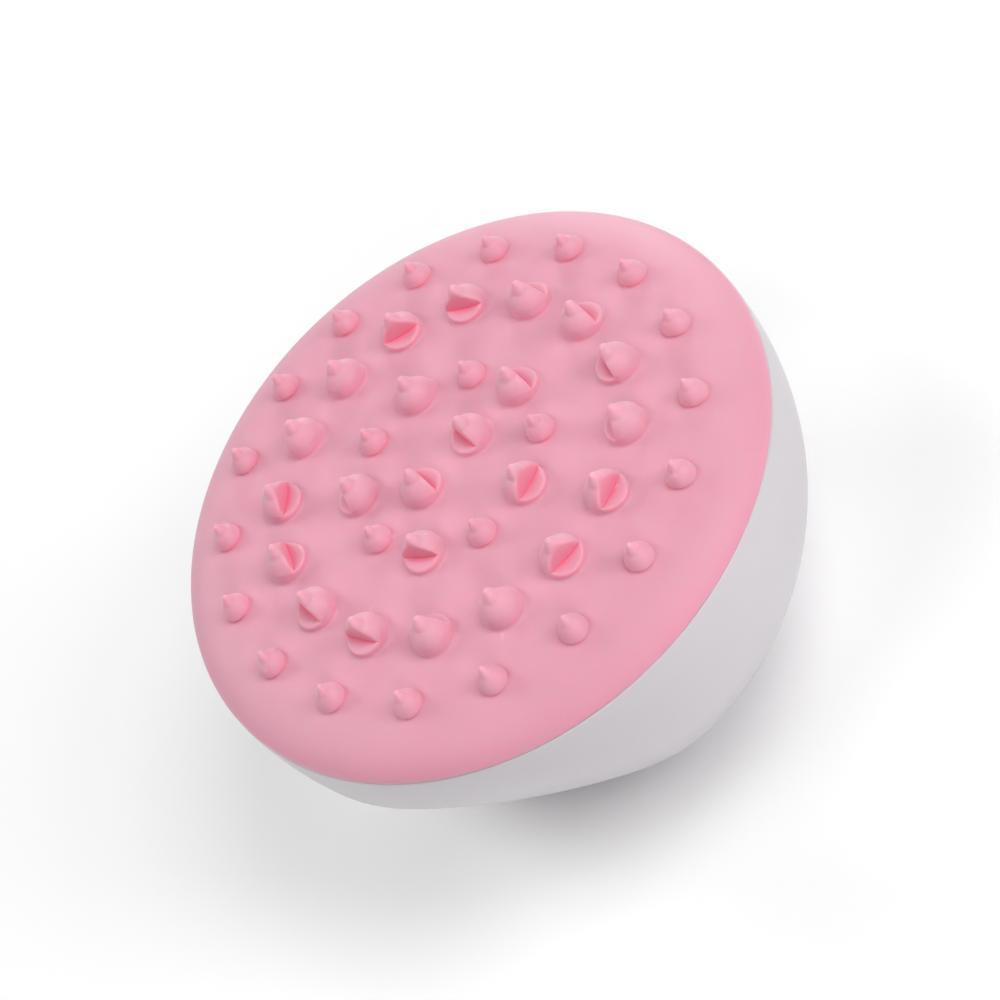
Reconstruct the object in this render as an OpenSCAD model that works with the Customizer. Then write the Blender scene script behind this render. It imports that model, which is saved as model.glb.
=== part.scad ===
// Palm-held cleansing and massage brush: a round silicone pad with raised nubs on a domed
// plastic handle. All sizes in millimetres. +Z points out of the nubbed face, the handle's
// flat foot rests on z = 0, and +X runs through the middle pair of nubs.

/* [Handle] */
// Radius of the ball that the handle's dome is part of
dome_r = 53.1; // [52.8:0.1:57]
// Height of the parting line between handle and pad above the foot
parting_h = 50; // [46:0.5:54]
// How far the dome's centre lies below the parting line
dome_drop = 2; // [0:0.2:3]
// Rounding between the dome and its flat foot
foot_fillet = 12; // [8:0.5:16]
// Wall thickness of the handle
wall = 2.6; // [2:0.2:3.4]

/* [Grip flats] */
// Direction of the first grip flat around the handle, in degrees; the second is opposite
grip_angle = 45; // [0:5:90]
// How far below the horizon each grip flat faces, in degrees
grip_dip = 31; // [20:1:40]
// Radius of the gently crowned grip flat
grip_r = 130; // [90:5:200]
// Distance from the dome's centre to the middle of a grip flat
grip_reach = 49.6; // [48:0.2:52]

/* [Pad] */
// Radius of the pad at the parting line
pad_r = 53; // [51:0.1:53]
// Height of the middle of the pad's face above the parting line
face_h = 7.5; // [6:0.1:9]
// How much lower the gently crowned face would be at the pad's rim than in its middle
crown = 2.7; // [1.5:0.1:3.5]
// Width of the rounded edge of the pad
edge_w = 10.5; // [7:0.5:11]
// Thickness of the silicone over the backing plate
skin_t = 2.8; // [2:0.2:3.2]

/* [Large nubs] */
// Radius of a large nub's ball
big_ball_r = 3.6; // [3:0.1:4.2]
// Height of the ball's centre above the face
big_ball_h = 0.6; // [0:0.1:1.5]
// Height of the tip above the face
big_tip_h = 6.5; // [6:0.1:7.5]
// Distance of the mouth's crease from the nub's axis
crease_u = 1.0; // [0.6:0.1:1.5]
// Distance of the beak's cut from the nub's axis at the height of the tip
beak_top_u = 1; // [0.4:0.05:1.2]
// Height of the mouth's crease above the face
crease_h = 1.1; // [0.8:0.1:2]
// Height of the lower lip's edge above the face
lip_h = 1.3; // [0.9:0.1:2.2]

/* [Small nubs] */
// Radius of a small nub's ball
small_ball_r = 2.2; // [1.8:0.05:2.6]
// Height of the ball's centre above the face
small_ball_h = 0.5; // [0:0.1:1.2]
// Height of the tip above the face
small_tip_h = 4.8; // [4.2:0.1:5.6]

/* [Nub pattern] */
// Radius of the outer ring, of small nubs
outer_ring_r = 42.5; // [38:0.5:43]
// Number of nubs in the outer ring
outer_count = 18; // [12:1:20]
// Radius of the middle ring, of large nubs
middle_ring_r = 31.4; // [29:0.2:34]
// Number of nubs in the middle ring
middle_count = 16; // [8:4:16]
// Radius of the inner ring, where large and small nubs take turns
inner_ring_r = 16.6; // [15:0.2:20]
// Number of nubs in the inner ring
inner_count = 10; // [6:2:12]
// Distance of each middle nub from the brush's axis
centre_u = 5.7; // [5:0.1:7]

/* [Fixings] */
// Number of screws that hold the backing plate
screw_count = 6; // [3:1:8]
// Radius of the circle that the screws lie on
screw_ring_r = 38; // [32:0.5:40]
// Radius of the screw's shank
screw_r = 1.45; // [1:0.05:1.6]
// Radius of the screw's countersunk head
screw_head_r = 2.8; // [2.4:0.1:3.2]
// Length of the screw, head included
screw_l = 12; // [8:1:16]

/* [Hidden] */

eps = 0.01;
fine = 96;

dome_z = parting_h - dome_drop;

rim_overhang = 3.9;
plate_r = pad_r - rim_overhang;
plate_clearance = 0.05;
edge_steps = 12;
crown_steps = 8;

spigot_r = 47.4;
spigot_w = 2;
ledge_top = parting_h - 6.5;
ledge_t = 3.5;
ledge_r = 44;
seal_r = spigot_r - spigot_w / 2;
seal_thick_r = 1.15;
seal_lift = 0.4;
groove_w = 2.6;

rib_t = 1.6;
rib_depth = 5;
hub_r = 10;

boss_r = 3.6;
boss_hole_depth = 14;
first_screw = grip_angle - 30;
screw_hole_r = 1.7;
sink_r = 3.1;
sink_depth = sink_r - screw_hole_r;
head_depth = screw_head_r - screw_r;
head_recess = 0.25;
shank_r = screw_r - 0.02;
point_r = 0.3;
cross_l = 2.8;
cross_w = 0.7;
cross_depth = 1.1;

bead_gap = 0.2;
bead_depth = 3.5;
bead_outer_r = dome_r - wall - 2 * bead_gap;

tip_ball_r = 0.3;
tip_angle = 25;
tip_root_share = 0.7;
nub_root = 1.2;

// How much lower a crowned surface is at radius r than in its middle
function fall(r) = crown * pow(r / pad_r, 2);

// Height of the pad's crowned face at radius r
function face_z(r) = parting_h + face_h - fall(r);

// Height of the backing plate's top at radius r
function plate_z(r) = face_z(r) - skin_t;

// Solid dome with a rounded foot, shrunk all round by inset
module dome_body(inset) {
    r = dome_r - inset;
    q = foot_fillet - inset;
    foot_r = sqrt(pow(r - q, 2) - pow(dome_z - inset - q, 2));
    touch_x = foot_r * r / (r - q);
    touch_z = dome_z - (dome_z - inset - q) * r / (r - q);
    rotate_extrude($fn = fine) {
        intersection() {
            translate([0, dome_z]) circle(r, $fn = fine);
            translate([0, touch_z]) square([r, parting_h - touch_z]);
        }
        intersection() {
            translate([foot_r, inset + q]) circle(q, $fn = fine);
            translate([foot_r, inset]) square([touch_x - foot_r, touch_z - inset]);
        }
        translate([0, inset]) square([foot_r, touch_z - inset]);
    }
}

// Large ball whose surface is one crowned grip flat, its pole at the flat's middle, shrunk by inset
module grip_ball(side, inset) {
    rotate([0, 90 + grip_dip, grip_angle + side])
        translate([0, 0, grip_reach - grip_r])
            sphere(grip_r - inset, $fn = fine);
}

// Dome with both grip flats
module dome(inset) {
    intersection() {
        dome_body(inset);
        translate([0, 0, dome_z]) grip_ball(0, inset);
        translate([0, 0, dome_z]) grip_ball(180, inset);
    }
}

// Copies children onto the screw positions
module at_screws() {
    for (i = [0 : screw_count - 1])
        rotate([0, 0, first_screw + i * 360 / screw_count])
            translate([screw_ring_r, 0, 0])
                children();
}

// Hollow handle with a ledge for the seal, and bosses with gussets for the screws
module handle_shell() {
    color([0.93, 0.93, 0.93])
    difference() {
        union() {
            difference() {
                dome(0);
                dome(wall);
                translate([0, 0, dome_z])
                    cylinder(h = dome_drop + eps, r = dome_r - wall, $fn = fine);
            }
            intersection() {
                dome(wall / 2);
                union() {
                    translate([0, 0, ledge_top - ledge_t])
                        difference() {
                            cylinder(h = ledge_t, r = dome_r, $fn = fine);
                            translate([0, 0, -eps])
                                cylinder(h = ledge_t + 2 * eps, r = ledge_r, $fn = fine);
                        }
                    at_screws() {
                        cylinder(h = parting_h, r = boss_r, $fn = 32);
                        translate([0, -rib_t / 2, 0])
                            cube([dome_r - screw_ring_r, rib_t, ledge_top - ledge_t + eps]);
                    }
                }
            }
        }
        translate([0, 0, ledge_top - 2 * seal_thick_r + seal_lift])
            difference() {
                cylinder(h = 2 * seal_thick_r, r = seal_r + groove_w / 2, $fn = fine);
                translate([0, 0, -eps])
                    cylinder(h = 2 * seal_thick_r + 2 * eps, r = seal_r - groove_w / 2, $fn = fine);
            }
        at_screws()
            translate([0, 0, parting_h - boss_hole_depth])
                cylinder(h = boss_hole_depth + eps, r = screw_r, $fn = 32);
    }
}

// Round silicone cord in the ledge's groove, held down by the plate's spigot
module seal_ring() {
    color([0.75, 0.75, 0.75])
        translate([0, 0, ledge_top - seal_thick_r + seal_lift])
            rotate_extrude($fn = fine)
                translate([seal_r, 0])
                    circle(seal_thick_r, $fn = 32);
}

// Points of a crowned plate top, from its rim at radius r to the axis
function plate_top(r, drop) = [
    for (i = [crown_steps : -1 : 0]) [r * i / crown_steps, plate_z(r * i / crown_steps) - drop]
];

// Stiff crowned disc that carries the pad, with a spigot, ribs and countersunk screw holes
module backing_plate() {
    rim = plate_r - plate_clearance;
    sink_top = plate_z(screw_ring_r) - plate_clearance;
    color([0.86, 0.86, 0.87])
    difference() {
        union() {
            rotate_extrude($fn = fine)
                polygon(concat([[0, parting_h], [rim, parting_h]], plate_top(rim, plate_clearance)));
            translate([0, 0, ledge_top + seal_lift])
                difference() {
                    cylinder(h = parting_h - ledge_top - seal_lift + eps, r = spigot_r, $fn = fine);
                    translate([0, 0, -eps])
                        cylinder(h = parting_h - ledge_top, r = spigot_r - spigot_w, $fn = fine);
                }
            translate([0, 0, parting_h - rib_depth])
                difference() {
                    cylinder(h = rib_depth + eps, r = hub_r, $fn = fine);
                    translate([0, 0, -eps])
                        cylinder(h = rib_depth, r = hub_r - rib_t, $fn = fine);
                }
            for (i = [0 : screw_count - 1])
                rotate([0, 0, first_screw + (i + 0.5) * 360 / screw_count])
                    translate([hub_r - rib_t / 2, -rib_t / 2, parting_h - rib_depth])
                        cube([spigot_r - spigot_w - hub_r + rib_t, rib_t, rib_depth + eps]);
        }
        at_screws() {
            translate([0, 0, parting_h - eps])
                cylinder(h = face_h, r = screw_hole_r, $fn = 32);
            translate([0, 0, sink_top - sink_depth])
                cylinder(h = sink_depth, r1 = screw_hole_r, r2 = sink_r, $fn = 32);
            translate([0, 0, sink_top - eps])
                cylinder(h = skin_t, r = sink_r, $fn = 32);
        }
    }
}

// One countersunk self-tapping screw, its head's top at z = 0
module screw() {
    difference() {
        union() {
            translate([0, 0, -head_depth])
                cylinder(h = head_depth, r1 = screw_r, r2 = screw_head_r, $fn = 32);
            translate([0, 0, -screw_l + screw_r])
                cylinder(h = screw_l - screw_r - head_depth + eps, r = shank_r, $fn = 32);
            translate([0, 0, -screw_l])
                cylinder(h = screw_r + eps, r1 = point_r, r2 = shank_r, $fn = 32);
        }
        for (turn = [0, 90])
            rotate([0, 0, turn])
                translate([-cross_l / 2, -cross_w / 2, -cross_depth])
                    cube([cross_l, cross_w, cross_depth + 1]);
    }
}

// The screws that clamp the backing plate onto the handle's bosses
module plate_screws() {
    color([0.7, 0.71, 0.73])
        at_screws()
            translate([0, 0, plate_z(screw_ring_r) - plate_clearance - head_recess])
                screw();
}

// Part of a ball with a slim pointed tip, standing on the face
module nub(ball_r, ball_h, tip_h) {
    root_h = ball_h + tip_root_share * ball_r;
    tip_top = tip_h - tip_ball_r;
    intersection() {
        union() {
            translate([0, 0, ball_h]) sphere(ball_r, $fn = 48);
            translate([0, 0, root_h])
                cylinder(
                    h = tip_top - root_h,
                    r1 = tip_ball_r + (tip_top - root_h) * tan(tip_angle),
                    r2 = tip_ball_r,
                    $fn = 32
                );
            translate([0, 0, tip_top]) sphere(tip_ball_r, $fn = 32);
        }
        translate([0, 0, -nub_root]) cylinder(h = tip_h + 2 * nub_root, r = 2 * ball_r, $fn = 32);
    }
}

// Large nub with a mouth cut into the side that faces +X
module big_nub() {
    reach = big_ball_r + 1;
    lip_rise = (lip_h - crease_h) / (big_ball_r - crease_u);
    difference() {
        nub(big_ball_r, big_ball_h, big_tip_h);
        rotate([90, 0, 0])
            linear_extrude(height = 2 * reach, center = true)
                polygon([
                    [crease_u, crease_h],
                    [reach, crease_h + lip_rise * (reach - crease_u)],
                    [reach, big_tip_h],
                    [beak_top_u, big_tip_h]
                ]);
    }
}

module small_nub() {
    nub(small_ball_r, small_ball_h, small_tip_h);
}

// Which way a middle-ring nub's mouth points: two outwards, two inwards, and so on
function mouth_turn(i) = floor(i / 2) % 2 == 0 ? 0 : 180;

// Copies children onto the face, evenly spaced around a ring
module around(ring_r, count) {
    for (i = [0 : count - 1]) {
        $index = i;
        rotate([0, 0, i * 360 / count])
            translate([ring_r, 0, face_z(ring_r)])
                children();
    }
}

// Every nub of the pad
module nubs() {
    around(outer_ring_r, outer_count) small_nub();
    around(middle_ring_r, middle_count) rotate([0, 0, mouth_turn($index)]) big_nub();
    around(inner_ring_r, inner_count) if ($index % 2 == 0) big_nub(); else small_nub();
    around(centre_u, 2) rotate([0, 0, 180]) big_nub();
}

// Half section of the pad: crowned face, rounded edge, skirt and the bead that hooks under the plate
module pad_section() {
    edge_u = pad_r - edge_w;
    rim_h = face_h - crown;
    polygon(concat(
        [for (i = [0 : crown_steps - 1]) [edge_u * i / crown_steps, face_z(edge_u * i / crown_steps)]],
        [
            for (i = [0 : edge_steps])
                let (a = i * 90 / edge_steps, r = edge_u + edge_w * sin(a))
                    [r, face_z(r) - rim_h * (1 - cos(a))]
        ],
        [
            [bead_outer_r, parting_h],
            [bead_outer_r, parting_h - bead_depth],
            [spigot_r + bead_gap, parting_h - bead_depth],
            [spigot_r + bead_gap, parting_h],
            [plate_r, parting_h]
        ],
        plate_top(plate_r, 0)
    ));
}

// Soft moulding with all its nubs, in one piece
module massage_pad() {
    color([0.94, 0.64, 0.72])
    union() {
        rotate_extrude($fn = fine) pad_section();
        nubs();
    }
}

handle_shell();
seal_ring();
backing_plate();
plate_screws();
massage_pad();
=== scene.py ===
# Looks of the palm-held cleansing brush: a soft pink pad with raised nubs on a white dome.
# Lengths are in metres, in the CAD frame: the foot rests on z = 0, +Z points out of the nubbed
# face and +X runs through the middle pair of nubs.
import math

import bpy
import numpy as np
from mathutils import Matrix, Vector
from mathutils.geometry import delaunay_2d_cdt


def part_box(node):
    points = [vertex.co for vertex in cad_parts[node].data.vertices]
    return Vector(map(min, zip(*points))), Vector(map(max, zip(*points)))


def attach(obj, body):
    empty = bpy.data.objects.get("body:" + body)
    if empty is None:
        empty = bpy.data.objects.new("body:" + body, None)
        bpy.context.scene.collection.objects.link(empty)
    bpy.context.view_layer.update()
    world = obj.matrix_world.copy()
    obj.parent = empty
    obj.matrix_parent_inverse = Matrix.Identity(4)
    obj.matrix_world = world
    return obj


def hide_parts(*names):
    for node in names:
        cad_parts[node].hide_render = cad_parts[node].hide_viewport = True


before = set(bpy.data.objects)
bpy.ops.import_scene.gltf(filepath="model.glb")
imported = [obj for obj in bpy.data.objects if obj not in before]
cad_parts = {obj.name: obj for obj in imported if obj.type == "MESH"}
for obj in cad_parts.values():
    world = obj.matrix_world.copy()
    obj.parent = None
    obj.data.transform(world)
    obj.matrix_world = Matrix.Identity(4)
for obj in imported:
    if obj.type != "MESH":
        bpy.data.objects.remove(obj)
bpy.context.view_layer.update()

MM = 0.001

# ---------------------------------------------------------------- sizes from the frame

shell_low, shell_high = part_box("handle_shell")
pad_low, pad_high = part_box("massage_pad")

PARTING = shell_high.z
PAD_R = (pad_high.x - pad_low.x) / 2

# ---------------------------------------------------------------- driving sizes

# Pad
FACE_H = 7.5 * MM
EDGE_W = 10.5 * MM
CROWN = 2.7 * MM
LIP_R = 0.35 * MM
SKIN_T = 2.8 * MM
PLATE_R = PAD_R - 3.9 * MM
BEAD_DEPTH = PARTING - pad_low.z
BEAD_OUTER_R = 50.1 * MM
BEAD_INNER_R = 47.6 * MM

# Nubs: ball radius, height of the ball's centre, height of the tip, fillet at the foot,
# half angle of the tip and rounding of the tip
BIG = {"ball_r": 3.6 * MM, "ball_h": 0.6 * MM, "tip_h": 6.2 * MM, "fillet": 0.5 * MM,
       "tip_angle": math.radians(19), "tip_r": 0.48 * MM}
SMALL = {"ball_r": 2.2 * MM, "ball_h": 0.5 * MM, "tip_h": 4.5 * MM, "fillet": 0.4 * MM,
         "tip_angle": math.radians(15), "tip_r": 0.32 * MM}
WAIST_BLEND = 1.6 * MM
PATCH_MARGIN = 0.5 * MM

# Mouth of a large nub: where the crease and the top of the beak's face lie, the lower lip's slope
# and cup, and the roundings. The lip is smoothed over LIP_REACH rings on each side of its edge.
CREASE_U = 1.0 * MM
CREASE_H = 1.1 * MM
BEAK_TOP_U = 1.0 * MM
LIP_RISE = 0.1
LIP_CUP = 0.04 / MM
BEAK_EDGE_ROUND = 0.4 * MM
BEAK_EDGE_SHARE = 0.6
CORNER_STEP = 0.6 * MM
CORNER_TURN = 0.6
LIP_SMOOTHING = 20
LIP_REACH = 6
MOUTH_FADE = 0.8 * MM
PIVOT_SHARE = 0.5

# Pattern
OUTER_RING, OUTER_COUNT = 42.5 * MM, 18
MIDDLE_RING, MIDDLE_COUNT = 31.4 * MM, 16
INNER_RING, INNER_COUNT = 16.6 * MM, 10
CENTRE_U = 5.7 * MM

# Mesh density: columns round the pad and handle and round each nub, and rings up each stretch
ROUND_COLUMNS = 240
BIG_COLUMNS = 72
SMALL_COLUMNS = 48
FILLET_RINGS = 5
BALL_RINGS = 11
LIP_RINGS = 9
BEAK_RINGS = 26
SMALL_RINGS = 25
EDGE_RINGS = 20
LIP_ROUND_RINGS = 5
RIM_ROUND_RINGS = 6
HANDLE_RINGS = 90
INNER_RINGS = 60
UNDERSIDE_SHARES = (1, 0.75, 0.5, 0.25)
SECTION_POINTS = 600

# Flat mesh of the face: its points' spacing, their gap to a nub, and how far out over the rounded
# edge it reaches, as a share of the edge's width
FACE_SPACING = 1.5 * MM
NUB_GAP = 0.6 * MM
FACE_SHARE = 0.5

# Steps of the searches for the lip's height and for the handle's surface
LIP_STEPS = 30
SURFACE_STEPS = 40
TINY = 1e-9

# Columns of a nub with a cosine under SIDEWAYS miss the beak's face, which then counts as FAR_OFF
SIDEWAYS = 1e-3
FAR_OFF = 1.0

# Handle
DOME_R = 53.1 * MM
DOME_CENTRE = Vector((0, 0, PARTING - 2.0 * MM))
WALL = 2.6 * MM
FLAT_R = 130 * MM
FLAT_REACH = 49.6 * MM
FLAT_ANGLE = 45
FLAT_DIP = 31
FLAT_BLEND = 2.0 * MM
FOOT_BLEND = 2.0 * MM
RIM_ROUND = 0.3 * MM
RIM_STEP_IN = 0.6 * MM
RIM_STEP_OUT = 0.8 * MM

# Studio: each softbox by name, azimuth and elevation in degrees and power in watts
SOFTBOX_SIZE = 0.4
SOFTBOX_DISTANCE = 0.9
LIGHTS = (
    ("key", -48, 32, 2.9),
    ("right_high", -42, 60, 3.0),
    ("front", -108, 30, 1.8),
    ("left_high", -174, 62, 1.9),
    ("back", 50, 14, 2.9),
    ("rear", 118, 34, 2.4),
)
WORLD_STRENGTH = 0.1
FLOOR_HALF = 3.0

# Camera
CAMERA_AZIMUTH = math.radians(-95.39)
CAMERA_ELEVATION = math.radians(46.32)
CAMERA_ROLL = math.radians(43.47)
CAMERA_DISTANCE = 527.3 * MM
CAMERA_LENS = 117.8
CAMERA_AIM = Vector((1.6 * MM, -3.5 * MM, PARTING - 3.1 * MM))

FACE = PARTING + FACE_H
EDGE_U = PAD_R - EDGE_W


# ---------------------------------------------------------------- small helpers

def smooth_min(a, b, k):
    """Lower of a and b, blended over a difference of k."""
    h = np.clip(0.5 + 0.5 * (b - a) / k, 0, 1)
    return b * (1 - h) + a * h - k * h * (1 - h)


def smooth_max(a, b, k):
    """Higher of a and b, blended over a difference of k."""
    return -smooth_min(-a, -b, k)


def resample(points, count):
    """A polyline's points, spread evenly along its length."""
    points = np.asarray(points, float)
    steps = np.hypot(*np.diff(points, axis=0).T)
    length = np.concatenate([[0], np.cumsum(steps)])
    at = np.linspace(0, length[-1], count)
    return np.stack([np.interp(at, length, points[:, i]) for i in (0, 1)], axis=1)


def grid_faces(rings, columns, first=0):
    """Quads between closed rings of vertices, the first ring outermost."""
    faces = []
    for k in range(rings - 1):
        low = first + k * columns
        for j in range(columns):
            right = (j + 1) % columns
            faces.append((low + j, low + right, low + columns + right, low + columns + j))
    return faces


def fan_faces(ring_first, columns, pole):
    """Triangles from the last ring of vertices to a pole."""
    return [(ring_first + j, ring_first + (j + 1) % columns, pole) for j in range(columns)]


def make_object(name, vertices, faces, sharp_degrees, mouth=None):
    """Mesh object from points and faces, shaded smooth apart from its sharp edges.

    mouth says for each point how deep it lies in a mouth, from 0 to 1.
    """
    mesh = bpy.data.meshes.new(name)
    mesh.from_pydata([tuple(v) for v in vertices], [], faces)
    if mouth is not None:
        mesh.attributes.new("mouth", "FLOAT", "POINT").data.foreach_set("value", mouth)
    mesh.validate()
    mesh.shade_smooth()
    mesh.set_sharp_from_angle(angle=math.radians(sharp_degrees))
    piece = bpy.data.objects.new(name, mesh)
    bpy.context.scene.collection.objects.link(piece)
    return piece


# ---------------------------------------------------------------- nubs

def upper_radius(z, nub):
    """Radius of a nub at height z, above its ball's centre."""
    ball = np.sqrt(np.maximum(0, nub["ball_r"] ** 2 - (z - nub["ball_h"]) ** 2))
    down = np.maximum(0, nub["tip_h"] - z)
    spike = np.sqrt((math.tan(nub["tip_angle"]) * down) ** 2 + 2 * nub["tip_r"] * down)
    blend = np.minimum(WAIST_BLEND, down + TINY)
    return np.where(z < nub["ball_h"], ball, smooth_max(ball, spike, blend))


def foot_of(nub):
    """Radius where the foot's fillet leaves the face, and height where it meets the ball."""
    radius, fillet, height = nub["ball_r"], nub["fillet"], nub["ball_h"]
    foot_u = math.sqrt((radius + fillet) ** 2 - (height - fillet) ** 2)
    meet_h = height + (fillet - height) * radius / (radius + fillet)
    return foot_u, meet_h


def fillet_points(nub, count):
    """Half section of the foot's fillet, from the face to the ball."""
    foot_u, _ = foot_of(nub)
    turn = math.atan2(nub["ball_h"] - nub["fillet"], -foot_u)
    if turn > 0:
        turn -= 2 * math.pi
    angles = np.linspace(-math.pi / 2, turn, count)
    u = foot_u + nub["fillet"] * np.cos(angles)
    h = nub["fillet"] * (1 + np.sin(angles))
    return np.stack([u, h], axis=1)


def patch_radius(nub):
    """Radius of the flat ring of face that is meshed with a nub."""
    return foot_of(nub)[0] + PATCH_MARGIN


def small_nub_grid(columns):
    """Rings of a plain nub, from the face inwards and up, how deep in a mouth, and its tip."""
    _, meet_h = foot_of(SMALL)
    heights = np.linspace(meet_h, SMALL["tip_h"], SECTION_POINTS)
    body = resample(np.stack([upper_radius(heights, SMALL), heights], axis=1), SMALL_RINGS)
    fillet = fillet_points(SMALL, FILLET_RINGS)
    section = np.concatenate([[[patch_radius(SMALL), 0]], fillet, body[1:-1]])
    angles = 2 * math.pi * np.arange(columns) / columns
    u = section[:, :1] * np.cos(angles)
    v = section[:, :1] * np.sin(angles)
    h = np.repeat(section[:, 1:], columns, axis=1)
    return np.stack([u, v, h], axis=2), np.zeros(h.shape), np.array([0, 0, SMALL["tip_h"]])


def big_nub_grid(columns):
    """Rings of a nub with a mouth that faces +u, how deep in the mouth they lie, and its tip.

    Columns fan out from a pivot behind the mouth. The rings climb the ball to the lower lip's
    edge, cross the lip to the crease, and then climb the flat face of the beak to the tip.
    """
    angles = 2 * math.pi * np.arange(columns) / columns
    cosine, sine = np.cos(angles), np.sin(angles)
    _, meet_h = foot_of(BIG)
    crease_r = float(upper_radius(np.array(CREASE_H), BIG))

    def pivot(h):
        return -PIVOT_SHARE * np.where(h < CREASE_H, crease_r, upper_radius(h, BIG))

    def to_circle(radius, h):
        p = pivot(h)
        return -p * cosine + np.sqrt(radius ** 2 - (p * sine) ** 2)

    def beak_u(h):
        return CREASE_U + (h - CREASE_H) * (BEAK_TOP_U - CREASE_U) / (BIG["tip_h"] - CREASE_H)

    def to_beak(h):
        ahead = np.maximum(cosine, SIDEWAYS)
        return np.where(cosine > SIDEWAYS, (beak_u(h) - pivot(h)) / ahead, FAR_OFF)

    def place(reach, h):
        h = np.broadcast_to(h, reach.shape)
        return np.stack([pivot(h) + reach * cosine, reach * sine, h], axis=-1)

    def lip_h(u, v):
        return CREASE_H + LIP_RISE * (u - CREASE_U) + LIP_CUP * v ** 2

    edge_h = np.full(columns, CREASE_H)
    crease_h = np.full(columns, CREASE_H)
    for _ in range(LIP_STEPS):
        at_edge = place(to_circle(upper_radius(edge_h, BIG), edge_h), edge_h)
        corner_v = np.sqrt(np.maximum(0, upper_radius(edge_h, BIG) ** 2 - CREASE_U ** 2))
        edge_v = np.minimum(np.abs(at_edge[:, 1]), corner_v)
        edge_v = np.where(at_edge[:, 0] < CREASE_U, corner_v, edge_v)
        edge_h = lip_h(np.maximum(at_edge[:, 0], CREASE_U), edge_v)
        at_crease = place(to_beak(crease_h), crease_h)
        crease_h = lip_h(CREASE_U, np.minimum(np.abs(at_crease[:, 1]), corner_v))
    in_mouth = to_beak(crease_h) < to_circle(upper_radius(crease_h, BIG), crease_h)
    turn = np.abs(np.arctan2(sine, cosine))
    corner = turn[in_mouth].max()
    past = np.clip((turn - corner) / CORNER_TURN, 0, 1)
    crease_h = np.where(in_mouth, crease_h, edge_h + CORNER_STEP * past ** 2 * (3 - 2 * past))

    def cut(h):
        radius = upper_radius(h, BIG)
        blend = np.minimum(BEAK_EDGE_ROUND, BEAK_EDGE_SHARE * radius + TINY)
        return place(smooth_min(to_circle(radius, h), to_beak(h), blend), h)

    def depth(h):
        behind = to_circle(upper_radius(h, BIG), h) - to_beak(h)
        return np.clip(behind / MOUTH_FADE, 0, 1)

    rings = [place(to_circle(patch_radius(BIG), np.zeros(columns)), np.zeros(columns))]
    for radius, h in fillet_points(BIG, FILLET_RINGS):
        level = np.full(columns, h)
        rings.append(place(to_circle(radius, level), level))
    for share in np.linspace(0, 1, BALL_RINGS)[1:]:
        h = meet_h + (edge_h - meet_h) * share
        ball = np.sqrt(BIG["ball_r"] ** 2 - (h - BIG["ball_h"]) ** 2)
        rings.append(place(to_circle(ball, h), h))
    edge_ring = len(rings) - 1
    mouth = [np.zeros(columns)] * len(rings)
    outer, inner = rings[-1], cut(crease_h)
    for share in np.linspace(0, 1, LIP_RINGS)[1:]:
        rings.append(outer + (inner - outer) * share)
        mouth.append(depth(crease_h) * max(0, 2 * share - 1))
    heights = np.linspace(CREASE_H, BIG["tip_h"], SECTION_POINTS)
    climb = resample(np.stack([upper_radius(heights, BIG), heights], axis=1), BEAK_RINGS)[:, 1]
    for share in (climb[1:-1] - CREASE_H) / (BIG["tip_h"] - CREASE_H):
        h = crease_h + (BIG["tip_h"] - crease_h) * share
        rings.append(cut(h))
        mouth.append(depth(h))

    grid = np.stack(rings)
    first, last = edge_ring - LIP_REACH, edge_ring + LIP_REACH
    for _ in range(LIP_SMOOTHING):
        before, after = grid[first - 1:last], grid[first + 1:last + 2]
        grid[first:last + 1] = grid[first:last + 1] / 2 + (before + after) / 4
    return grid, np.stack(mouth), np.array([0, 0, BIG["tip_h"]])


def nub_places():
    """Centre, mouth direction in degrees and kind of every nub."""
    places = []
    for i in range(OUTER_COUNT):
        places.append((OUTER_RING, i * 360 / OUTER_COUNT, 0, "small"))
    for i in range(MIDDLE_COUNT):
        inwards = 180 * (i // 2 % 2)
        places.append((MIDDLE_RING, i * 360 / MIDDLE_COUNT, inwards, "big"))
    for i in range(INNER_COUNT):
        places.append((INNER_RING, i * 360 / INNER_COUNT, 0, "small" if i % 2 else "big"))
    for turn in (0, 180):
        places.append((CENTRE_U, turn, 180, "big"))
    return places


# ---------------------------------------------------------------- pad

def surface_drop(radius):
    """How far the pad's surface lies under its highest level at a distance from the axis."""
    past = np.clip((radius - EDGE_U) / EDGE_W, 0, 1)
    crown = CROWN * (radius / PAD_R) ** 2
    return crown + (FACE_H - CROWN - LIP_R) * (1 - np.sqrt(1 - past ** 2))


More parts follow.
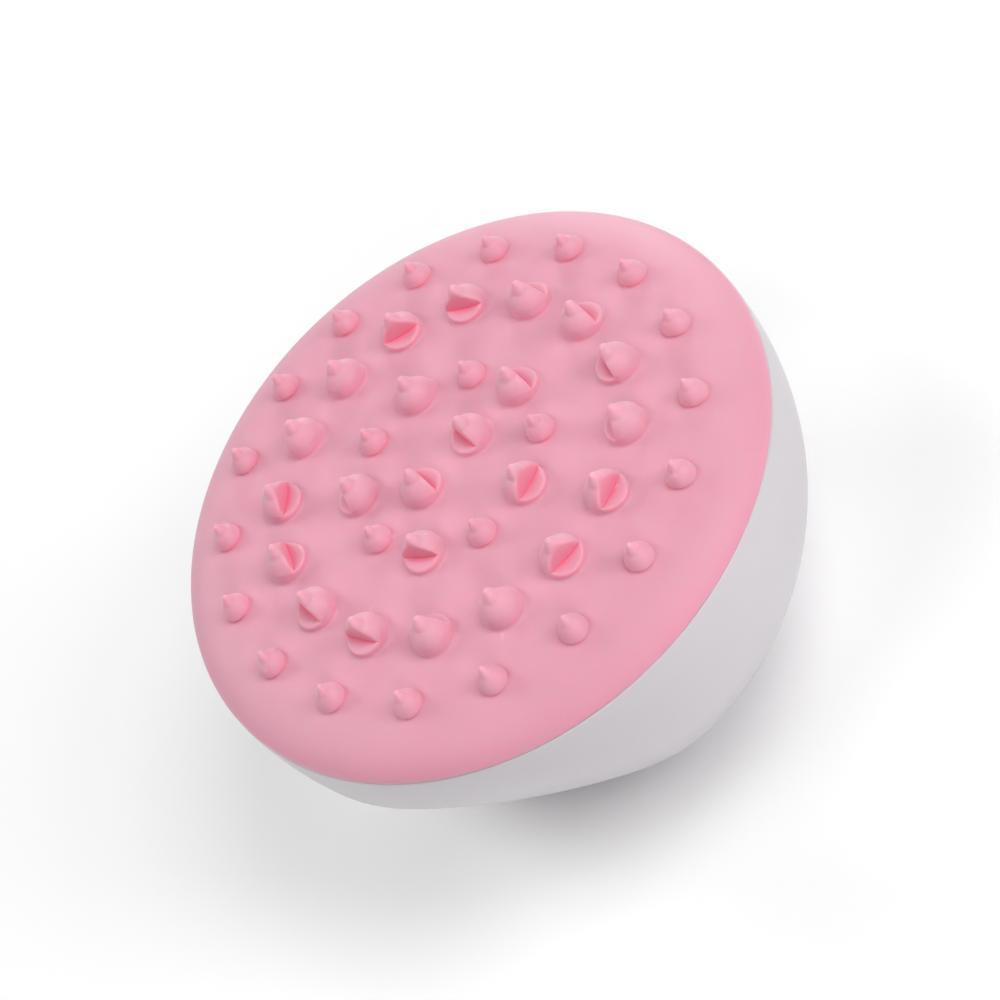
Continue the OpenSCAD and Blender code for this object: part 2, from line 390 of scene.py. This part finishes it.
def pad_mesh():
    """One closed skin: face with every nub, rounded edge, skirt, bead and underside."""
    prototypes = {"big": big_nub_grid(BIG_COLUMNS), "small": small_nub_grid(SMALL_COLUMNS)}
    radii = {"big": patch_radius(BIG), "small": patch_radius(SMALL)}
    vertices, faces = [], []
    mouth_depths = {}
    hubs = []
    # Points and edges of the flat mesh, and for each point the nub whose outline it lies on
    outline_points, outline_edges, nub_of = [], [], []

    for ring, angle, mouth, kind in nub_places():
        turn = math.radians(angle)
        hub = np.array([ring * math.cos(turn), ring * math.sin(turn), 0])
        spin = math.radians(angle + mouth)
        rotate = np.array(Matrix.Rotation(spin, 3, "Z"))
        grid, depths, tip = prototypes[kind]
        rings, columns = grid.shape[:2]
        first = len(vertices)
        mouth_depths[first] = depths.ravel()
        vertices.extend(grid.reshape(-1, 3) @ rotate.T + hub)
        vertices.append(tip + hub)
        faces.extend(grid_faces(rings, columns, first))
        faces.extend(fan_faces(first + (rings - 1) * columns, columns, first + rings * columns))
        start = len(outline_points)
        outline_points.extend(range(first, first + columns))
        outline_edges.extend((start + j, start + (j + 1) % columns) for j in range(columns))
        nub_of.extend([len(hubs)] * columns)
        hubs.append((hub[0], hub[1], radii[kind]))

    face_edge = EDGE_U + FACE_SHARE * EDGE_W
    columns = ROUND_COLUMNS
    angles = 2 * math.pi * np.arange(columns) / columns
    first_edge = len(vertices)
    rim = [(face_edge * math.cos(a), face_edge * math.sin(a), 0) for a in angles]
    vertices.extend(np.array(rim))
    start = len(outline_points)
    outline_points.extend(range(first_edge, first_edge + columns))
    outline_edges.extend((start + j, start + (j + 1) % columns) for j in range(columns))
    nub_of.extend([None] * columns)

    hubs = np.array(hubs)
    for radius in np.arange(0, face_edge - 0.5 * FACE_SPACING, FACE_SPACING):
        around = max(1, round(2 * math.pi * radius / FACE_SPACING))
        for j in range(around):
            a = 2 * math.pi * (j + 0.5) / around
            point = np.array([radius * math.cos(a), radius * math.sin(a), 0])
            gap = np.hypot(hubs[:, 0] - point[0], hubs[:, 1] - point[1]) - hubs[:, 2]
            if gap.min() > NUB_GAP:
                outline_points.append(len(vertices))
                nub_of.append(None)
                vertices.append(point)

    flat = [Vector((vertices[i][0] / MM, vertices[i][1] / MM)) for i in outline_points]
    _, _, cells, origin, _, _ = delaunay_2d_cdt(flat, outline_edges, [], 0, 1e-6)
    origin = [o[0] for o in origin]
    # A cell with all its corners on one nub's outline lies under that nub and is left out
    for cell in cells:
        ids = [origin[i] for i in cell]
        nubs = {nub_of[i] for i in ids}
        if nubs == {None} or len(nubs) > 1:
            faces.append(tuple(outline_points[i] for i in ids))

    vertices = np.array(vertices)
    vertices[:, 2] += FACE - surface_drop(np.hypot(vertices[:, 0], vertices[:, 1]))

    section = []
    for a in np.linspace(math.asin(FACE_SHARE), math.pi / 2, EDGE_RINGS)[1:]:
        radius = EDGE_U + EDGE_W * math.sin(a)
        section.append((radius, FACE - float(surface_drop(np.array(radius)))))
    for a in np.linspace(0, math.pi / 2, LIP_ROUND_RINGS)[1:]:
        section.append((PAD_R - LIP_R * (1 - math.cos(a)), PARTING + LIP_R * (1 - math.sin(a))))
    section += [
        (BEAD_OUTER_R, PARTING),
        (BEAD_OUTER_R, PARTING - BEAD_DEPTH),
        (BEAD_INNER_R, PARTING - BEAD_DEPTH),
        (BEAD_INNER_R, PARTING),
        (PLATE_R, PARTING),
    ]
    for share in UNDERSIDE_SHARES:
        section.append((PLATE_R * share, FACE - SKIN_T - CROWN * (PLATE_R * share / PAD_R) ** 2))
    first = len(vertices)
    rows = [[(r * math.cos(a), r * math.sin(a), z) for a in angles] for r, z in section]
    skirt = np.array(rows).reshape(-1, 3)
    pole = np.array([[0, 0, FACE - SKIN_T]])
    all_vertices = np.concatenate([vertices, skirt, pole])
    for j in range(columns):
        right = (j + 1) % columns
        faces.append((first_edge + j, first + j, first + right, first_edge + right))
    for a, b, c, d in grid_faces(len(section), columns, first):
        faces.append((a, d, c, b))
    last = first + (len(section) - 1) * columns
    faces.extend((b, a, c) for a, b, c in fan_faces(last, columns, len(all_vertices) - 1))
    mouth = np.zeros(len(all_vertices))
    for start, depths in mouth_depths.items():
        mouth[start:start + len(depths)] = depths
    return all_vertices, faces, mouth


# ---------------------------------------------------------------- handle

def dome_distance(points, inset):
    """Roughly how far points, measured from the dome's centre, lie outside the handle."""
    outside = np.linalg.norm(points, axis=-1) - (DOME_R - inset)
    for side in (0, 180):
        around, dip = math.radians(FLAT_ANGLE + side), math.radians(FLAT_DIP)
        towards = np.array([
            math.cos(around) * math.cos(dip), math.sin(around) * math.cos(dip), -math.sin(dip)])
        centre = towards * (FLAT_REACH - FLAT_R)
        flat = np.linalg.norm(points - centre, axis=-1) - (FLAT_R - inset)
        outside = smooth_max(outside, flat, FLAT_BLEND)
    foot = -(points[..., 2] + DOME_CENTRE.z - inset)
    return smooth_max(outside, foot, FOOT_BLEND)


def dome_surface(directions, inset):
    """Points where rays from the dome's centre leave the handle's surface."""
    near = np.zeros(directions.shape[:-1])
    far = np.full(directions.shape[:-1], 1.2 * DOME_R)
    for _ in range(SURFACE_STEPS):
        middle = (near + far) / 2
        out = dome_distance(directions * middle[..., None], inset) > 0
        far = np.where(out, middle, far)
        near = np.where(out, near, middle)
    return directions * near[..., None] + np.array(DOME_CENTRE)


def dome_rings(inset, rings, columns):
    """Rings of the handle's surface from just under the rim to just round its foot's middle."""
    dips = np.linspace(0, math.pi / 2, rings + 1)[:-1]
    angles = 2 * math.pi * np.arange(columns) / columns
    dip, around = np.meshgrid(dips, angles, indexing="ij")
    directions = np.stack(
        [np.cos(dip) * np.cos(around), np.cos(dip) * np.sin(around), -np.sin(dip)], axis=-1)
    return dome_surface(directions, inset)


def handle_mesh():
    """Closed wall of the handle: outside, rounded rim and inside."""
    columns = ROUND_COLUMNS
    angles = 2 * math.pi * np.arange(columns) / columns
    outer = dome_rings(0, HANDLE_RINGS, columns)
    inner = dome_rings(WALL, INNER_RINGS, columns)

    def ring(radius, z):
        level = np.full(columns, z)
        return np.stack([radius * np.cos(angles), radius * np.sin(angles), level], axis=-1)

    rim_r = math.sqrt(DOME_R ** 2 - (PARTING - DOME_CENTRE.z) ** 2)
    rings = list(inner[::-1])
    rings.append(ring(DOME_R - WALL, PARTING - RIM_STEP_IN))
    rings.append(ring(DOME_R - WALL, PARTING))
    for a in np.linspace(math.pi / 2, 0, RIM_ROUND_RINGS):
        rings.append(ring(
            rim_r - RIM_ROUND * (1 - math.cos(a)), PARTING - RIM_ROUND * (1 - math.sin(a))))
    rings.append(ring(
        math.sqrt(DOME_R ** 2 - RIM_STEP_OUT ** 2), DOME_CENTRE.z + RIM_STEP_OUT))
    rings.extend(outer)
    grid = np.stack(rings)
    count = len(rings)
    vertices = grid.reshape(-1, 3)
    poles = np.array([[0, 0, WALL], [0, 0, 0]])
    vertices = np.concatenate([vertices, poles])
    faces = [(a, d, c, b) for a, b, c, d in grid_faces(count, columns)]
    inner_pole = count * columns
    faces.extend(fan_faces(0, columns, inner_pole))
    outer_fan = fan_faces((count - 1) * columns, columns, inner_pole + 1)
    faces.extend((b, a, c) for a, b, c in outer_fan)
    return vertices, faces


# ---------------------------------------------------------------- materials

class Shader:
    """A material's node tree, with short calls for the nodes used here."""

    def __init__(self, name):
        self.material = bpy.data.materials.new(name)
        self.material.use_nodes = True
        self.nodes = self.material.node_tree.nodes
        self.links = self.material.node_tree.links
        self.surface = self.nodes["Principled BSDF"]
        self.place = self.nodes.new("ShaderNodeTexCoord").outputs["Object"]

    def link(self, output, target):
        """Join an output to an input."""
        self.links.new(output, target)

    def set(self, **values):
        """Fixed values of the surface's inputs, with _ for a space in a name."""
        for key, value in values.items():
            self.surface.inputs[key.replace("_", " ")].default_value = value

    def noise(self, scale, detail=3, roughness=0.5, distortion=0.0):
        """Noise with so many waves to the metre."""
        node = self.nodes.new("ShaderNodeTexNoise")
        node.inputs["Scale"].default_value = scale
        node.inputs["Detail"].default_value = detail
        node.inputs["Roughness"].default_value = roughness
        node.inputs["Distortion"].default_value = distortion
        self.link(self.place, node.inputs["Vector"])
        return node.outputs["Fac"]

    def spread(self, source, low, high, to_low, to_high):
        """The range from low to high, stretched to another range and held at its ends."""
        node = self.nodes.new("ShaderNodeMapRange")
        node.clamp = True
        for key, value in zip(("From Min", "From Max", "To Min", "To Max"),
                              (low, high, to_low, to_high)):
            node.inputs[key].default_value = value
        self.link(source, node.inputs["Value"])
        return node.outputs["Result"]

    def math(self, operation, a, b):
        """Result of an operation on two outputs or numbers."""
        node = self.nodes.new("ShaderNodeMath")
        node.operation = operation
        for index, value in enumerate((a, b)):
            if isinstance(value, (int, float)):
                node.inputs[index].default_value = value
            else:
                self.link(value, node.inputs[index])
        return node.outputs["Value"]

    def mix(self, factor, a, b):
        """Colour between a and b, which are outputs or tuples."""
        node = self.nodes.new("ShaderNodeMix")
        node.data_type = "RGBA"
        sockets = [s for s in node.inputs if s.type == "RGBA"]
        self.link(factor, node.inputs["Factor"])
        for socket, value in zip(sockets, (a, b)):
            if isinstance(value, tuple):
                socket.default_value = (*value, 1)
            else:
                self.link(value, socket)
        return next(s for s in node.outputs if s.type == "RGBA")

    def pointiness(self):
        """How sharply the surface bends: over 0.5 on a crest, under it in a hollow."""
        return self.nodes.new("ShaderNodeNewGeometry").outputs["Pointiness"]

    def mouth_depth(self):
        """How deep a point lies in a nub's mouth, from 0 to 1."""
        node = self.nodes.new("ShaderNodeAttribute")
        node.attribute_name = "mouth"
        return node.outputs["Fac"]

    def openness(self, distance):
        """How open a point is to its surroundings: 1 on a free face, lower in a nook."""
        node = self.nodes.new("ShaderNodeAmbientOcclusion")
        node.samples = 8
        node.inputs["Distance"].default_value = distance
        return node.outputs["AO"]

    def height_over_face(self):
        """Height of a point over the pad's crowned face."""
        split = self.nodes.new("ShaderNodeSeparateXYZ")
        self.link(self.place, split.inputs["Vector"])
        x, y, z = (split.outputs[axis] for axis in "XYZ")
        square = self.math("ADD", self.math("MULTIPLY", x, x), self.math("MULTIPLY", y, y))
        fall = self.math("MULTIPLY", square, CROWN / PAD_R ** 2)
        return self.math("SUBTRACT", self.math("ADD", z, fall), FACE)

    def bump(self, height, strength, distance, below=None):
        """Normal of a fine relief, laid over another one if it is given."""
        node = self.nodes.new("ShaderNodeBump")
        node.inputs["Strength"].default_value = strength
        node.inputs["Distance"].default_value = distance
        self.link(height, node.inputs["Height"])
        if below is not None:
            self.link(below, node.inputs["Normal"])
        return node.outputs["Normal"]


def silicone_material():
    """Soft matt pink silicone: faint clouds of colour, painted shade down the rounded edge, in
    the nooks and in the mouths, painted light on the paler thin tips, powdery fine grain.
    """
    s = Shader("pink_silicone")
    clouds = s.spread(s.noise(38, 4, 0.55, 0.4), 0.32, 0.68, 0, 1)
    base = s.mix(clouds, (0.73, 0.345, 0.44), (0.75, 0.361, 0.457))
    # Painted shade: deeper and darker down the rounded edge, where it turns away from the light
    height = s.height_over_face()
    edge = s.spread(height, -5.0 * MM, -1.0 * MM, 1, 0)
    base = s.mix(s.math("MULTIPLY", edge, 0.4), base, (0.74, 0.24, 0.36))
    # Painted light: paler in the thin tips, standing in for light that falls on the tips and
    # shines through the thin silicone
    thin = s.spread(height, 2.2 * MM, 5.2 * MM, 0, 1)
    base = s.mix(s.math("MULTIPLY", thin, 0.6), base, (0.8, 0.44, 0.53))
    # Painted shade: redder and darker in the nooks round the nubs' feet and in the mouths; paler
    # on the crests
    nook = s.spread(s.openness(3 * MM), 0.3, 0.8, 1, 0)
    base = s.mix(s.math("MULTIPLY", nook, 0.7), base, (0.97, 0.14, 0.27))
    base = s.mix(s.math("MULTIPLY", s.mouth_depth(), 0.35), base, (0.9, 0.13, 0.26))
    crest = s.spread(s.pointiness(), 0.515, 0.62, 0, 1)
    base = s.mix(s.math("MULTIPLY", crest, 0.45), base, (0.9, 0.47, 0.56))
    s.link(base, s.surface.inputs["Base Color"])
    grain = s.noise(2600, 3, 0.6)
    s.link(s.spread(s.math("ADD", grain, clouds), 0.4, 1.6, 0.46, 0.6),
           s.surface.inputs["Roughness"])
    fine = s.bump(grain, 0.18, 0.12 * MM)
    waves = s.bump(s.noise(160, 2, 0.4), 0.12, 0.5 * MM, fine)
    s.link(waves, s.surface.inputs["Normal"])
    s.set(Subsurface_Weight=0.8, Subsurface_Scale=1.8 * MM, IOR=1.41, Sheen_Weight=0.15,
          Sheen_Roughness=0.5)
    s.surface.inputs["Subsurface Radius"].default_value = (1.0, 0.25, 0.3)
    return s.material


def white_plastic_material():
    """Satin white ABS: a faint warm and cool drift and fine moulded grain."""
    s = Shader("white_abs")
    drift = s.spread(s.noise(24, 3, 0.5, 0.3), 0.3, 0.7, 0, 1)
    base = s.mix(drift, (0.56, 0.528, 0.555), (0.585, 0.553, 0.58))
    worn = s.spread(s.pointiness(), 0.52, 0.6, 0, 1)
    base = s.mix(s.math("MULTIPLY", worn, 0.3), base, (0.7, 0.68, 0.69))
    s.link(base, s.surface.inputs["Base Color"])
    grain = s.noise(3200, 2, 0.5)
    patches = s.noise(70, 4, 0.6)
    s.link(s.spread(s.math("ADD", grain, patches), 0.5, 1.5, 0.3, 0.42),
           s.surface.inputs["Roughness"])
    s.link(s.bump(grain, 0.1, 0.06 * MM), s.surface.inputs["Normal"])
    s.set(IOR=1.52, Subsurface_Weight=0.06, Subsurface_Scale=1.0 * MM, Coat_Weight=0.12,
          Coat_Roughness=0.25)
    return s.material


def inner_plastic_material():
    """Unpolished white plastic of the backing plate, with a coarser spark-eroded grain."""
    s = Shader("inner_abs")
    base = s.mix(s.noise(60, 4), (0.66, 0.66, 0.67), (0.74, 0.74, 0.75))
    s.link(base, s.surface.inputs["Base Color"])
    grain = s.noise(1500, 4, 0.6)
    s.link(s.spread(grain, 0.3, 0.7, 0.5, 0.65), s.surface.inputs["Roughness"])
    s.link(s.bump(grain, 0.3, 0.1 * MM), s.surface.inputs["Normal"])
    return s.material


def seal_material():
    """Grey silicone rubber of the seal ring, with a dusty skin."""
    s = Shader("grey_rubber")
    base = s.mix(s.noise(220, 4), (0.24, 0.24, 0.25), (0.32, 0.32, 0.33))
    s.link(base, s.surface.inputs["Base Color"])
    grain = s.noise(2400, 3)
    s.link(s.spread(grain, 0.3, 0.7, 0.6, 0.8), s.surface.inputs["Roughness"])
    s.link(s.bump(grain, 0.25, 0.08 * MM), s.surface.inputs["Normal"])
    return s.material


def steel_material():
    """Bright drawn steel of the screws, with fine turning marks."""
    s = Shader("screw_steel")
    base = s.mix(s.noise(900, 3), (0.5, 0.5, 0.51), (0.62, 0.62, 0.63))
    s.link(base, s.surface.inputs["Base Color"])
    grain = s.noise(5200, 2)
    s.link(s.spread(grain, 0.3, 0.7, 0.22, 0.38), s.surface.inputs["Roughness"])
    s.link(s.bump(grain, 0.2, 0.04 * MM), s.surface.inputs["Normal"])
    s.set(Metallic=1.0)
    return s.material


def floor_material():
    """Matt white sweep."""
    s = Shader("studio_floor")
    base = s.mix(s.noise(6, 3), (0.96, 0.96, 0.96), (0.975, 0.975, 0.975))
    s.link(base, s.surface.inputs["Base Color"])
    s.set(Roughness=0.9)
    return s.material


# ---------------------------------------------------------------- pieces

def add_piece(name, mesh, node, material, sharp_degrees):
    """A new visible piece that stands for one CAD node."""
    vertices, faces, *mouth = mesh
    piece = make_object(name, vertices, faces, sharp_degrees, *mouth)
    piece.data.materials.append(material)
    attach(piece, "root")
    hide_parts(node)
    return piece


def repaint(node, material):
    """A better material on a CAD node that is shown as it is."""
    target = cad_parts[node]
    if not target.material_slots:
        target.data.materials.append(material)
    for holder in target.material_slots:
        holder.material = material


add_piece("soft_pad", pad_mesh(), "massage_pad", silicone_material(),
          sharp_degrees=50)
add_piece("dome_handle", handle_mesh(), "handle_shell",
          white_plastic_material(), sharp_degrees=40)
repaint("backing_plate", inner_plastic_material())
repaint("seal_ring", seal_material())
repaint("plate_screws", steel_material())


# ---------------------------------------------------------------- studio

def direction(azimuth, elevation):
    """Unit vector towards an azimuth and elevation in radians."""
    return Vector((
        math.cos(elevation) * math.cos(azimuth),
        math.cos(elevation) * math.sin(azimuth),
        math.sin(elevation)))


def add_floor():
    """Wide level floor under the foot."""
    half = FLOOR_HALF
    corners = [(-half, -half, 0), (half, -half, 0), (half, half, 0), (-half, half, 0)]
    floor = make_object("floor", corners, [(0, 1, 2, 3)], sharp_degrees=30)
    floor.data.materials.append(floor_material())


def add_softbox(name, azimuth, elevation, power):
    """Square softbox that faces the brush from a direction, in degrees."""
    away = direction(math.radians(azimuth), math.radians(elevation))
    lamp = bpy.data.lights.new(name, "AREA")
    lamp.size = SOFTBOX_SIZE
    lamp.energy = power
    light = bpy.data.objects.new(name, lamp)
    light.location = Vector((0, 0, PARTING)) + away * SOFTBOX_DISTANCE
    light.rotation_euler = away.to_track_quat("Z", "Y").to_euler()
    bpy.context.scene.collection.objects.link(light)


def add_world(strength):
    """Even white surroundings."""
    world = bpy.data.worlds.new("studio")
    world.use_nodes = True
    background = world.node_tree.nodes["Background"]
    background.inputs["Color"].default_value = (1, 1, 1, 1)
    background.inputs["Strength"].default_value = strength
    bpy.context.scene.world = world


def add_camera():
    """Long lens that looks down on the face from the front, rolled as the picture is."""
    back = direction(CAMERA_AZIMUTH, CAMERA_ELEVATION)
    level = Vector((0, 0, 1)).cross(back).normalized()
    upright = back.cross(level)
    right = level * math.cos(CAMERA_ROLL) - upright * math.sin(CAMERA_ROLL)
    up = back.cross(right)
    lens = bpy.data.cameras.new("camera")
    lens.sensor_width = 36
    lens.lens = CAMERA_LENS
    lens.clip_start = 0.01
    camera = bpy.data.objects.new("camera", lens)
    pose = Matrix((right, up, back)).transposed().to_4x4()
    pose.translation = CAMERA_AIM + back * CAMERA_DISTANCE
    camera.matrix_world = pose
    bpy.context.scene.collection.objects.link(camera)
    bpy.context.scene.camera = camera


add_floor()
add_world(WORLD_STRENGTH)
for light in LIGHTS:
    add_softbox(*light)
add_camera()

bpy.context.scene.view_settings.view_transform = "Standard"
bpy.context.scene.view_settings.look = "None"
